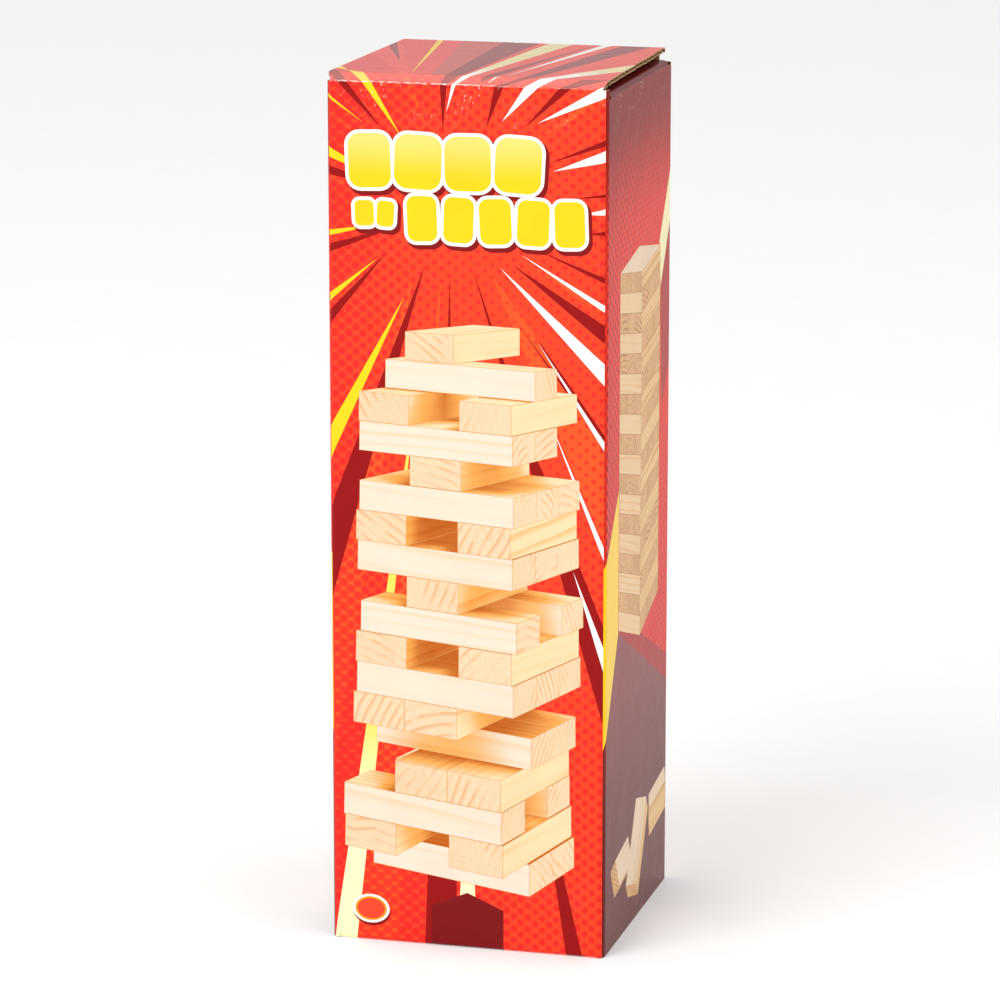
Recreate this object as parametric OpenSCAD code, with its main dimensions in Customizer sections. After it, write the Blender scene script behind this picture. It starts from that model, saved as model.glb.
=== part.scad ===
// Boxed tumbling tower game: a carton of micro-flute board with a tuck-in lid and a
// glued bottom, which holds a tower of fifty-four wooden blocks. Millimetres, +Z up.
// The carton stands on z = 0 with its front face towards -Y, centred on the Z axis.

/* [Blocks] */
// Length of one block, which is also the side of the square tower
block_l = 52.2; // [48:0.3:60]
// Height of one block
block_h = 9.6; // [8:0.2:12]
// Gap between two blocks of one layer
block_gap = 0.1; // [0.05:0.05:0.3]
// Width of the small bevel on every block edge
block_bevel = 0.5; // [0.2:0.1:1]

/* [Carton] */
// Thickness of the board
board_t = 1; // [0.8:0.1:1.2]
// Free space beside the tower, on the left and on the right
side_play = 1.9; // [1.5:0.1:3]
// Free space in front of the tower
front_play = 0.4; // [0.3:0.1:1]
// Free space behind the tower, where the tuck flap goes in
tuck_space = 3.4; // [3.3:0.1:5]
// Free height above the tower, under the top dust flaps
headroom = 1.6; // [0.5:0.1:6]
// Gap between the top dust flaps and the lid
lid_gap = 1.5; // [0.4:0.1:3]
// Outside radius of the carton's four vertical folds
corner_r = 1.6; // [1.2:0.1:3]

/* [Flaps] */
// Depth of the lid's tuck flap
tuck_depth = 10; // [8:0.5:10]
// How far the tuck flap stays clear of the back wall
tuck_gap = 1.5; // [1.5:0.05:1.7]
// Length of a top dust flap from its fold line
dust_l = 22; // [15:0.5:24]
// Length of a bottom side flap from its wall
side_flap_l = 24; // [15:0.5:26]
// Depth of the bottom's inner panel, from the back wall
inner_panel_d = 42; // [25:1:52]
// How much the lid narrows on each side towards its rear fold
lid_taper = 0.8; // [0.4:0.1:2]
// Width of the half-moon thumb slit in the lid's rear fold
moon_w = 8; // [8:0.5:14]
// Depth of the half-moon thumb slit
moon_depth = 3.6; // [2:0.1:4]
// Width of the glue flap inside the left wall
glue_flap_w = 12; // [8:0.5:16]

/* [Hidden] */

// The tower: eighteen layers of three blocks, each layer across the one below.
layer_count = 18;
blocks_per_layer = 3;
block_pitch = block_l / blocks_per_layer;
block_w = block_pitch - block_gap;
loose_x = 0.2;
loose_y = 0.12;

// A fold line runs through the middle of the board. Each panel stops short of it, so
// that it can turn: the moving panel by fold_reach, the standing one by fold_drop.
half_t = board_t / 2;
fold_reach = 0.25 * board_t;
fold_drop = 0.65 * board_t;
tower_play = 0.1;

carton_w = block_l + 2 * side_play + 2 * board_t;
carton_d = block_l + front_play + tuck_space + 2 * board_t;
inner_panel_z = board_t;
side_flap_z = 2 * board_t;
tower_z = 3 * board_t + tower_play;
tower_h = layer_count * block_h;
tower_y = -carton_d / 2 + board_t + front_play + block_l / 2;
top_dust_z = tower_z + tower_h + headroom;
carton_h = top_dust_z + board_t + lid_gap + board_t;

wall_x = carton_w / 2;
wall_y = carton_d / 2;
front_fold_y = -wall_y + half_t;
lid_fold_z = carton_h - half_t;
tuck_fold_y = wall_y - board_t - tuck_gap - half_t;
top_dust_fold_z = top_dust_z + half_t;
side_fold_x = wall_x - half_t;
back_wall_drop = 3.3;

// Tuck flap and dust flaps
tuck_half_w = wall_x - 2 * board_t - 0.25;
tuck_corner_r = 4;
dust_tuck_gap = 0.9;
dust_front_y = front_fold_y + 3;
dust_rear_y = tuck_fold_y - half_t - dust_tuck_gap;
dust_front_slope = 0.42;
dust_rear_slope = 0.12;
dust_corner_r = 2;
glue_flap_end = 4;
fold_width_play = 0.2;
flap_corner = 3;
corner_cut = corner_r - fold_width_play;
outer_panel_short = 0.4;
side_flap_play = 0.1;
side_flap_cut = 0.3;

// The thumb slit is a circle's segment, and its tab is that segment less a clearance.
moon_r = (pow(moon_w / 2, 2) + pow(moon_depth, 2)) / (2 * moon_depth);
moon_y = tuck_fold_y - fold_reach + moon_r - moon_depth;
moon_play = 0.2;
moon_tab_w = moon_w - 2.4;

arc_steps = 8;

// Points on an arc about c, from angle a to angle b
function arc(c, r, a, b) =
    [for (i = [0 : arc_steps]) c + r * [cos(a + (b - a) * i / arc_steps), sin(a + (b - a) * i / arc_steps)]];

function rounded_rect(w, d, r) = concat(
    arc([w / 2 - r, d / 2 - r], r, 0, 90),
    arc([-w / 2 + r, d / 2 - r], r, 90, 180),
    arc([-w / 2 + r, -d / 2 + r], r, 180, 270),
    arc([w / 2 - r, -d / 2 + r], r, 270, 360));

// Four walls folded from one strip; the top and bottom edges step down to each fold.
module carton_tube() {
    inner_r = corner_r - board_t;
    side_cut_d = carton_d - 2 * corner_r;
    color("orangered") difference() {
        linear_extrude(carton_h) difference() {
            polygon(rounded_rect(carton_w, carton_d, corner_r));
            polygon(rounded_rect(carton_w - 2 * board_t, carton_d - 2 * board_t, inner_r));
        }
        // The front wall stops at the lid's fold, and stands on the bottom's outer panel
        fold_trim(lid_fold_z - fold_drop, carton_h + 1);
        fold_trim(-1, board_t);
        // The side walls stop at the dust flaps' folds, and stand on the bottom's side flaps
        side_trim(top_dust_fold_z - fold_drop, carton_h + 1, side_cut_d);
        side_trim(-1, side_flap_z + board_t, side_cut_d);
        // The back wall has a free top edge, and stands on the bottom's inner panel
        back_trim(carton_h - back_wall_drop, carton_h + 1);
        back_trim(-1, inner_panel_z + board_t);
    }
}

module fold_trim(z0, z1) {
    translate([-wall_x - 1, -wall_y - 1, z0]) cube([carton_w + 2, 1 + corner_r, z1 - z0]);
}

module side_trim(z0, z1, d) {
    translate([-wall_x - 1, -d / 2, z0]) cube([carton_w + 2, d, z1 - z0]);
}

module back_trim(z0, z1) {
    translate([-wall_x - 1, 0, z0]) cube([carton_w + 2, carton_d, z1 - z0]);
}

// Lap glued to the inside of the left wall, next to the rear corner
module glue_flap() {
    color("tan") translate([-wall_x + board_t, wall_y - corner_r - glue_flap_w, glue_flap_end])
        cube([board_t, glue_flap_w, carton_h - 2 * glue_flap_end]);
}

module moon(r, z, h) {
    translate([0, moon_y, z]) cylinder(r = r, h = h, $fn = 64);
}

// Top panel, hinged on the front wall and a little narrower at its rear fold
module lid() {
    front_half = wall_x - fold_width_play;
    rear_half = wall_x - lid_taper;
    front_y = front_fold_y + fold_reach;
    rear_y = tuck_fold_y - fold_reach;
    color("tomato") difference() {
        translate([0, 0, carton_h - board_t]) linear_extrude(board_t)
            polygon([[-front_half, front_y], [front_half, front_y], [rear_half, rear_y], [-rear_half, rear_y]]);
        moon(moon_r, carton_h - board_t - 1, board_t + 2);
    }
}

// Plate with rounded lower corners, hanging down from its fold line
module tuck_plate() {
    r = tuck_corner_r;
    translate([0, tuck_fold_y + half_t, 0]) rotate([90, 0, 0]) linear_extrude(board_t)
        polygon(concat(
            [[-tuck_half_w, -fold_drop], [-tuck_half_w, -tuck_depth + r]],
            arc([-tuck_half_w + r, -tuck_depth + r], r, 180, 270),
            arc([tuck_half_w - r, -tuck_depth + r], r, 270, 360),
            [[tuck_half_w, -fold_drop]]));
}

// Flap that tucks in at the back wall, with the half-moon tab that is slit out of the lid
module lid_tuck_flap() {
    tab_rear_y = tuck_fold_y + half_t;
    color("tomato") {
        translate([0, 0, lid_fold_z]) tuck_plate();
        intersection() {
            moon(moon_r - moon_play, lid_fold_z - fold_drop, fold_drop + half_t);
            translate([-moon_tab_w / 2, tab_rear_y - board_t - moon_depth, lid_fold_z - half_t])
                cube([moon_tab_w, board_t + moon_depth, board_t]);
        }
        translate([-moon_tab_w / 2, tuck_fold_y - half_t, lid_fold_z - fold_drop])
            cube([moon_tab_w, board_t, fold_drop]);
    }
}

// Dust flap on the right wall, cut back at the front to clear the lid as both open
module dust_flap(z) {
    root_x = side_fold_x - fold_reach;
    tip_x = side_fold_x - dust_l;
    tip_front_y = dust_front_y + dust_front_slope * dust_l;
    tip_rear_y = dust_rear_y - dust_rear_slope * dust_l;
    r = dust_corner_r;
    translate([0, 0, z]) linear_extrude(board_t)
        polygon(concat(
            [[root_x, dust_front_y], [root_x, dust_rear_y]],
            arc([tip_x + r, tip_rear_y - r], r, 90, 180),
            arc([tip_x + r, tip_front_y + r], r, 180, 270)));
}

module top_dust_flap_right() {
    color("indianred") dust_flap(top_dust_z);
}

module top_dust_flap_left() {
    color("indianred") mirror([1, 0, 0]) dust_flap(top_dust_z);
}

// Outline of a flap that reaches from its free edge, at y = free, back to its fold, at
// y = fold. The free corners are cut by flap_corner and the fold's ends by k.
function cut_flap(half_w, free, fold, k) = [
    [-half_w + flap_corner, free], [half_w - flap_corner, free],
    [half_w, free + flap_corner], [half_w, fold - k],
    [half_w - k, fold], [-half_w + k, fold],
    [-half_w, fold - k], [-half_w, free + flap_corner]];

// Outermost of the three glued layers under the tower, folded in from the front wall
module bottom_outer_panel() {
    color("tomato") linear_extrude(board_t) mirror([0, 1, 0])
        polygon(cut_flap(wall_x - fold_width_play, -wall_y + outer_panel_short, wall_y, corner_cut));
}

// Middle layer, folded in from the back wall
module bottom_inner_panel() {
    color("tan") translate([0, 0, inner_panel_z]) linear_extrude(board_t)
        polygon(cut_flap(wall_x - fold_width_play, wall_y - inner_panel_d, wall_y, corner_cut));
}

// Top layer, folded in from the side walls
module bottom_side_flap_right() {
    flap_half_d = wall_y - corner_r - side_flap_play;
    color("indianred") translate([0, 0, side_flap_z]) rotate([0, 0, -90]) linear_extrude(board_t)
        polygon(cut_flap(flap_half_d, wall_x - side_flap_l, wall_x, side_flap_cut));
}

module bottom_side_flap_left() {
    mirror([1, 0, 0]) bottom_side_flap_right();
}

// Outline of a bar's section with bevelled corners, centred
function bevelled(w, h, b) = [
    [w / 2 - b, -h / 2], [w / 2, -h / 2 + b], [w / 2, h / 2 - b], [w / 2 - b, h / 2],
    [-w / 2 + b, h / 2], [-w / 2, h / 2 - b], [-w / 2, -h / 2 + b], [-w / 2 + b, -h / 2]];

// One block with bevels along all its edges, its length along X, centred
module block() {
    intersection() {
        rotate([90, 0, 90]) linear_extrude(block_l, center = true)
            polygon(bevelled(block_w, block_h, block_bevel));
        rotate([90, 0, 0]) linear_extrude(block_w, center = true)
            polygon(bevelled(block_l, block_h, block_bevel));
        linear_extrude(block_h, center = true)
            polygon(bevelled(block_l, block_w, block_bevel));
    }
}

// Layer n, counted from the bottom: odd layers run left to right, even ones front to back
module layer(n) {
    shift_x = loose_x * sin(137 * n);
    shift_y = loose_y * cos(211 * n);
    color("burlywood")
        translate([shift_x, tower_y + shift_y, tower_z + (n - 0.5) * block_h])
        rotate([0, 0, n % 2 == 1 ? 0 : 90])
        for (i = [-1 : 1]) translate([0, i * block_pitch, 0]) block();
}

carton_tube();
glue_flap();
lid();
lid_tuck_flap();
top_dust_flap_left();
top_dust_flap_right();
bottom_outer_panel();
bottom_inner_panel();
bottom_side_flap_left();
bottom_side_flap_right();
layer(1);  // layer_01
layer(2);  // layer_02
layer(3);  // layer_03
layer(4);  // layer_04
layer(5);  // layer_05
layer(6);  // layer_06
layer(7);  // layer_07
layer(8);  // layer_08
layer(9);  // layer_09
layer(10);  // layer_10
layer(11);  // layer_11
layer(12);  // layer_12
layer(13);  // layer_13
layer(14);  // layer_14
layer(15);  // layer_15
layer(16);  // layer_16
layer(17);  // layer_17
layer(18);  // layer_18
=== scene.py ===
"""Boxed tumbling tower game: a printed carton of micro-flute board with a tuck-in lid,
and the tower of wooden blocks that stands inside it. Lengths are millimetres until a
mesh is made, and the printed artwork is drawn in the unrolled blank: u runs to the
right along a wall, and v runs up the wall and on over the lid."""

import math
import random
import bmesh
import bpy
from mathutils import Matrix, Vector
from mathutils.bvhtree import BVHTree
from mathutils.geometry import delaunay_2d_cdt


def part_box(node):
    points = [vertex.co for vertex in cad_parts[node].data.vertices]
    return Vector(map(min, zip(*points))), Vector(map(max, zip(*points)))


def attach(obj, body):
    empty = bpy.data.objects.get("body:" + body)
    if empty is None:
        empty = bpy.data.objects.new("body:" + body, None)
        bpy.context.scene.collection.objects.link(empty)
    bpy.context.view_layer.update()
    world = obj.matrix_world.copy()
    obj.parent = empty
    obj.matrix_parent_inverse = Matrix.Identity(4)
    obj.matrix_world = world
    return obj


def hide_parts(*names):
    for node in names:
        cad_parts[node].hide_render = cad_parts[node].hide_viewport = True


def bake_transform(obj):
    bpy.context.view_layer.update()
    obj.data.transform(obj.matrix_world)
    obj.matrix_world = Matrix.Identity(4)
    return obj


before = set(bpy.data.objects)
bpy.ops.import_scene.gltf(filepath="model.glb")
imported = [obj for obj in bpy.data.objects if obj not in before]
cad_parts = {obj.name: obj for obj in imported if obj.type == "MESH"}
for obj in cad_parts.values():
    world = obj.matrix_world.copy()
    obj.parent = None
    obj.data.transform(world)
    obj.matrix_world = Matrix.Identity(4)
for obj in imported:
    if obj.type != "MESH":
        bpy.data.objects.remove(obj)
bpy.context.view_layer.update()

MM = 0.001


def mm_box(node):
    """A CAD node's lowest and highest corners in millimetres."""
    low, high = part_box(node)
    return Vector(low) / MM, Vector(high) / MM


def placed(name, data):
    """A mesh, lamp or camera as an object of the scene."""
    made = bpy.data.objects.new(name, data)
    bpy.context.scene.collection.objects.link(made)
    return made


# ---- measures
_, TUBE_HIGH = mm_box("carton_tube")
LID_LOW, LID_HIGH = mm_box("lid")
TUCK_LOW, TUCK_HIGH = mm_box("lid_tuck_flap")
GLUE_LOW, GLUE_HIGH = mm_box("glue_flap")
DUST_LOW, DUST_HIGH = mm_box("top_dust_flap_right")

WALL_X = TUBE_HIGH.x
WALL_Y = TUBE_HIGH.y
HEIGHT = LID_HIGH.z
BOARD = LID_HIGH.z - LID_LOW.z
CORNER_R = 1.6
CORNER_STEPS = 6
FLUTE_PITCH = 3.4
HALF_PANEL = 29.0

# The lid's front fold has two creases with a narrow strip between them.
CREASE_R = 0.6
STRIP_RUN = 1.6
CREASE_RISE = STRIP_RUN * math.sin(math.radians(45)) + CREASE_R
FOLD_V = HEIGHT - CREASE_RISE
CREASE_LENGTH = CREASE_R * math.radians(45)
LID_V = FOLD_V + 2 * CREASE_LENGTH + STRIP_RUN
TUCK_R = 1.3
DUST_R = 1.2
BOTTOM_R = 1.0
LID_REAR_Y = TUCK_HIGH.y - TUCK_R
LID_FRONT_Y = -WALL_Y + CREASE_RISE
REAR_V = LID_V + LID_REAR_Y - LID_FRONT_Y
LID_REAR_HALF = WALL_X - 0.8
SIDE_TOP = DUST_LOW.z - 0.2
BACK_TOP = HEIGHT - 3.3
FOOT = 0.15
SLIT = 0.15
MOON_R = 4.02
MOON_Y = 26.17
MOON_V = REAR_V + MOON_Y - LID_REAR_Y
MOON_PLAY = 0.2
PLAIN = ("kraft", "kraft")


def turned(vector, degrees):
    """A flat vector turned anticlockwise."""
    return Matrix.Rotation(math.radians(degrees), 2) @ vector


# ---- carton walls, unrolled
WALLS = {"left": 0, "front": 1, "right": 2, "back": 3}
FLATS = [2 * (WALL_Y - CORNER_R), 2 * (WALL_X - CORNER_R)] * 2
TURN = CORNER_R * math.pi / 2


def wall_start(index):
    """Where a wall's flat begins along the unrolled tube."""
    return sum(FLATS[:index]) + index * TURN


def wall_shift(name):
    """What turns a wall's own u into a place along the unrolled tube."""
    index = WALLS[name]
    return wall_start(index) + FLATS[index] / 2 - HALF_PANEL


TUBE_LENGTH = wall_start(4)


def place_tube(s, v, depth):
    """A point of the four walls, depth below their printed face."""
    index = max(k for k in range(4) if k == 0 or s >= wall_start(k) - 1e-6)
    heading = turned(Vector((0, -1)), 90 * index)
    normal = turned(heading, -90)
    reach = WALL_X if index % 2 == 0 else WALL_Y
    along = s - wall_start(index)
    if along <= FLATS[index]:
        spot = normal * (reach - depth) + heading * (along - FLATS[index] / 2)
    else:
        centre = normal * (reach - CORNER_R) + heading * (FLATS[index] / 2)
        angle = math.degrees((along - FLATS[index]) / CORNER_R)
        spot = centre + turned(normal, angle) * (CORNER_R - depth)
    return Vector((spot.x, spot.y, v))


def tube_offset(s):
    """The shift of the wall that a place along the unrolled tube belongs to."""
    edges = [wall_start(k) - TURN / 2 for k in range(1, 4)]
    index = sum(s > edge for edge in edges)
    return wall_shift(list(WALLS)[index])


class Profile:
    """A folded board seen from its edge: a walk of straight runs and turns. The printed
    face lies to the left of the walk when side is 1, and to its right when it is -1."""

    def __init__(self, start, heading, steps, side=1):
        self.start = Vector(start)
        self.heading = heading
        self.steps = steps
        self.side = side

    def sunk(self, distance, depth):
        """The point at a distance along the walk and a depth below the printed face."""
        point = self.start.copy()
        heading = self.heading
        for number, (length, turn) in enumerate(self.steps):
            last = number == len(self.steps) - 1
            walked = distance if last else min(distance, length)
            if turn:
                radius = length / math.radians(abs(turn))
                sign = math.copysign(1, turn)
                centre = point + turned(Vector((1, 0)), heading + 90 * sign) * radius
                heading += turn * walked / length
                point = centre - turned(Vector((1, 0)), heading + 90 * sign) * radius
            else:
                point = point + turned(Vector((1, 0)), heading) * walked
            distance -= walked
            if distance <= 0:
                break
        return point - turned(Vector((1, 0)), heading + 90 * self.side) * depth


def folded(begin, *profile):
    """What folds a panel that runs across the carton. Its profile begins at the height begin
    of the blank, and goes up the blank when its side is 1 and down when it is -1."""
    walk = Profile(*profile)

    def place(u, v, depth):
        spot = walk.sunk((v - begin) * walk.side, depth)
        return Vector((u - HALF_PANEL, spot.x, spot.y))
    return place


# ---- painted shapes
class Paint:
    """A printed shape: an outline, a finish, and for a picture's face the wood grain and
    the shade at its four corners."""

    def __init__(self, points, finish, quad=None):
        self.points = [Vector(p) for p in points]
        self.finish = finish
        self.quad = quad

    def moved(self, move):
        """The same shape with its points moved by a function."""
        quad = self.quad and ([move(p) for p in self.quad[0]], *self.quad[1:])
        return Paint([move(p) for p in self.points], self.finish, quad)

    def clipped(self, axis, limit, side):
        """The part of the shape below a limit when side is 1, or above it when it is -1."""
        kept = []
        for a, b in zip(self.points, self.points[1:] + self.points[:1]):
            gap_a = side * (limit - a[axis])
            gap_b = side * (limit - b[axis])
            if gap_a >= 0:
                kept.append(a)
            if (gap_a > 0) != (gap_b > 0) and gap_a != gap_b:
                kept.append(a.lerp(b, gap_a / (gap_a - gap_b)))
        return Paint(kept, self.finish, self.quad)

    def carried(self, spot):
        """Grain place and shade at a spot of the shape."""
        if self.quad is None:
            return Vector((0, 0, 0)), 1.0
        corners, grain, shade = self.quad
        across = corners[1] - corners[0]
        up = corners[3] - corners[0]
        room = across.cross(up) or 1e-9
        offset = spot - corners[0]
        a = min(max(offset.cross(up) / room, 0), 1)
        b = min(max(across.cross(offset) / room, 0), 1)
        low = shade[0] * (1 - a) + shade[1] * a
        high = shade[3] * (1 - a) + shade[2] * a
        return grain[0] + (grain[1] - grain[0]) * a + (grain[3] - grain[0]) * b, low * (1 - b) + high * b


def area(points):
    """Signed area of a flat outline."""
    return sum(a.cross(b) for a, b in zip(points, points[1:] + points[:1])) / 2


def holds(points, spot):
    """Whether a flat outline goes round a spot."""
    inside = False
    for a, b in zip(points, points[1:] + points[:1]):
        if (a.y > spot.y) != (b.y > spot.y):
            inside ^= spot.x < a.x + (b.x - a.x) * (spot.y - a.y) / (b.y - a.y)
    return inside


class Gallery:
    """Shapes sorted into the cells of a grid, to find the one on top at a spot."""

    cell = 4.0

    def __init__(self, shapes):
        self.cells = {}
        for shape in shapes:
            lows, highs = ([math.floor(pick(p[axis] for p in shape.points) / self.cell)
                            for axis in (0, 1)] for pick in (min, max))
            for i in range(lows[0], highs[0] + 1):
                for j in range(lows[1], highs[1] + 1):
                    self.cells.setdefault((i, j), []).append(shape)

    def top(self, spot):
        """The last shape that covers a spot, or None."""
        key = (math.floor(spot.x / self.cell), math.floor(spot.y / self.cell))
        found = (shape for shape in reversed(self.cells.get(key, [])) if holds(shape.points, spot))
        return next(found, None)


def within(shapes, low, high):
    """Shapes cut to a box of the blank, without those that fall outside it."""
    kept = []
    for shape in shapes:
        for axis in (0, 1):
            shape = shape.clipped(axis, high[axis], 1).clipped(axis, low[axis], -1)
        if len(shape.points) > 2 and abs(area(shape.points)) > 0.001:
            kept.append(shape)
    return kept


def arc(centre, radius, start, end, steps=8):
    """Points on an arc, from one angle to another in degrees."""
    centre = Vector(centre)
    angles = [start + (end - start) * k / steps for k in range(steps + 1)]
    return [centre + turned(Vector((radius, 0)), angle) for angle in angles]


def ellipse(centre, width, height):
    """Outline of an ellipse."""
    return [centre + Vector((width * p.x, height * p.y)) for p in arc((0, 0), 1, 0, 351, 39)]


def ray(finish, tip, direction, spread):
    """A ray of the burst: a long thin triangle."""
    reach = 260
    tip = Vector(tip)
    ends = [tip + turned(Vector((reach, 0)), direction + spread * side / 2) for side in (-1, 1)]
    return Paint([tip] + ends, finish)


def tile(finish, centre, width, height, tilt, grow):
    """A blank rounded tile."""
    radius = min(width, height) * 0.28 + grow
    x = width / 2 + grow - radius
    y = height / 2 + grow - radius
    corners = [(x, y, 0), (-x, y, 90), (-x, -y, 180), (x, -y, 270)]
    points = [p for cx, cy, angle in corners for p in arc((cx, cy), radius, angle, angle + 90, 6)]
    return Paint([Vector(centre) + turned(p, tilt) for p in points], finish)


# ---- pictures of block towers
# Lengths here are in block widths. The dark seam is what shows round each face, and shade
# is looked up no nearer to a face's edge than SEEN_EDGE.
LEVEL = 0.48
SEAM = 0.006
SEEN_EDGE = 0.12
GRAIN_MM = 17.0
FULL = ((0, 1, 2), 0, 0)

# Each layer of the front's tower from the bottom: which of its three places hold a
# block, then its shift to the left and to the rear, in block widths.
PLAYED_TOWER = [
    ((1, 2), 0.12, 0), ((0, 2), 0.17, 0), ((0, 2), 0.2, 0), ((0, 1), 0.21, 0),
    ((1, 2), 0.06, -0.05), ((1, 2), 0.04, 0), ((0, 1, 2), -0.02, 0), ((0, 2), 0, -0.02),
    ((0, 2), -0.08, 0), ((1,), 0.02, 0), FULL, ((0, 2), 0.03, -0.02),
    ((0, 1, 2), -0.03, -0.02), ((1,), -0.02, 0), ((0, 1), 0, 0), ((0, 2), 0.02, 0),
    ((1,), 0, 0), ((1.7,), 0, 1.2)]
FULL_TOWER = [FULL] * 18


def perspective(left, rear, up):
    """Where a point of the front's tower is printed, seen from above its near corner."""
    turn = math.radians(23.8)
    pitch = -0.316
    away = 39.5
    eye_height = 11.33
    zoom = 436.3
    middle_u = HALF_PANEL + 9.63
    horizon_v = 303.6
    x = rear * math.sin(turn) - left * math.cos(turn)
    y = rear * math.cos(turn) + left * math.sin(turn) + away
    z = up - eye_height
    depth = y * math.cos(pitch) - z * math.sin(pitch)
    rise = y * math.sin(pitch) + z * math.cos(pitch)
    return Vector((middle_u + zoom * x / depth, horizon_v + zoom * rise / depth))


def oblique(left, rear, up):
    """Where a point of the side walls' tower is printed, with its upright edges parallel."""
    corner_u, corner_v = 31.0, 60.9
    left_run, rear_run, height = 6.4, 5.6, 77.0
    share = up / (18 * LEVEL)
    tilt = 1.9 - 0.95 * share
    u = corner_u - left_run * left + rear_run * rear
    return Vector((u, corner_v + tilt * (left + rear) + height * share))


def tower_blocks(layers):
    """Lowest corner and size of each block, the far ones of a layer first, with its long axis."""
    blocks = []
    for number, (slots, left, rear) in enumerate(layers):
        for slot in sorted(slots, reverse=True):
            if number % 2 == 0:
                blocks.append((Vector((left, slot + rear, number * LEVEL)), Vector((3, 1, LEVEL)), 0))
            else:
                blocks.append((Vector((slot + left, rear, number * LEVEL)), Vector((1, 3, LEVEL)), 1))
    return blocks


def block_tree(blocks):
    """The blocks as a search tree for rays."""
    points = []
    faces = []
    sides = [(0, 1, 3, 2), (4, 6, 7, 5), (0, 4, 5, 1), (2, 3, 7, 6), (0, 2, 6, 4), (1, 5, 7, 3)]
    for low, size, _ in blocks:
        start = len(points)
        for k in range(8):
            points.append(low + Vector((size.x * (k & 1), size.y * (k >> 1 & 1), size.z * (k >> 2))))
        faces += [[start + k for k in side] for side in sides]
    return BVHTree.FromPolygons(points, faces)


def openness(tree, spot, normal):
    """How much of the half space over a spot is free of blocks, from 0 to 1."""
    rays = 20
    reach = 2.2
    side = normal.orthogonal().normalized()
    other = normal.cross(side)
    free = 0
    for k in range(rays):
        lift = math.sqrt((k + 0.5) / rays)
        angle = k * math.pi * (3 - math.sqrt(5))
        out = math.sqrt(1 - lift * lift)
        towards = normal * lift + (side * math.cos(angle) + other * math.sin(angle)) * out
        free += tree.ray_cast(spot + normal * 0.01, towards, reach)[0] is None
    return free / rays


def log_place(chance, start, depth):
    """A random place in the log that a block is cut from."""
    return Vector((chance.uniform(start, 900), chance.uniform(-60, 60), chance.uniform(depth, 60)))


def tower_picture(layers, project, seed, cell=0.5, ink="picture"):
    """Painted faces of a tower. Where they overlap, a later one covers an earlier one."""
    chance = random.Random(seed)
    blocks = tower_blocks(layers)
    tree = block_tree(blocks)
    shapes = []
    for low, size, long_axis in blocks:
        offset = log_place(chance, 40, 18)
        left, right = ("side", "end") if long_axis == 0 else ("end", "flank")
        faces = [("top", 2, 1, Vector((0, 0, 1))), (left, 1, 0, Vector((0, -1, 0))),
                 (right, 0, 0, Vector((-1, 0, 0)))]
        for face, fixed, at_end, normal in faces:
            first, second = [axis for axis in range(3) if axis != fixed]
            steps = [max(1, round(size[first] / cell)), max(1, round(size[second] / cell))]

            def inside(i, j, seam):
                """A place on the face, from its shares of the way across between two seams."""
                local = Vector((0, 0, 0))
                local[fixed] = size[fixed] * at_end
                local[first] = seam + (size[first] - 2 * seam) * i
                local[second] = seam + (size[second] - 2 * seam) * j
                return local

            rim = [low + inside(i, j, 0) for i, j in ((0, 0), (1, 0), (1, 1), (0, 1))]
            shapes.append(Paint([project(*corner) for corner in rim], ink + "_gap"))
            spots = {}
            for i in range(steps[0] + 1):
                for j in range(steps[1] + 1):
                    local = inside(i / steps[0], j / steps[1], SEAM)
                    seen = local.copy()
                    for axis in (first, second):
                        seen[axis] = min(max(local[axis], SEEN_EDGE), size[axis] - SEEN_EDGE)
                    grain = Vector((local[long_axis], local[1 - long_axis], local.z)) * GRAIN_MM + offset
                    spots[i, j] = (project(*(low + local)), grain, openness(tree, low + seen, normal))
            for i in range(steps[0]):
                for j in range(steps[1]):
                    ring = [spots[i, j], spots[i + 1, j], spots[i + 1, j + 1], spots[i, j + 1]]
                    corners, grain, shade = (list(values) for values in zip(*ring))
                    shapes.append(Paint(corners, f"{ink}_{face}", (corners, grain, shade)))
    return shapes


def loose_block(corner, length, width, height, seed):
    """A block on its own in a picture, drawn from its near corner with three flat vectors."""
    chance = random.Random(seed)
    offset = log_place(chance, 40, 18)
    corner, length, width, height = (Vector(value) for value in (corner, length, width, height))
    long_grain, wide_grain, high_grain = Vector((52, 0, 0)), Vector((0, 17, 0)), Vector((0, 0, 9.6))
    faces = [("brown_top", corner + height, length, width, long_grain, wide_grain),
             ("brown_flank", corner, length, height, long_grain, high_grain),
             ("brown_end", corner, width, height, wide_grain, high_grain)]
    shade = [0.95, 0.85, 0.95, 1.0]
    shapes = []
    for finish, start, a, b, grain_a, grain_b in faces:
        corners = [start, start + a, start + a + b, start + b]
        grain = [offset, offset + grain_a, offset + grain_a + grain_b, offset + grain_b]
        shapes.append(Paint(corners, finish, (corners, grain, shade)))
    return shapes


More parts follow.
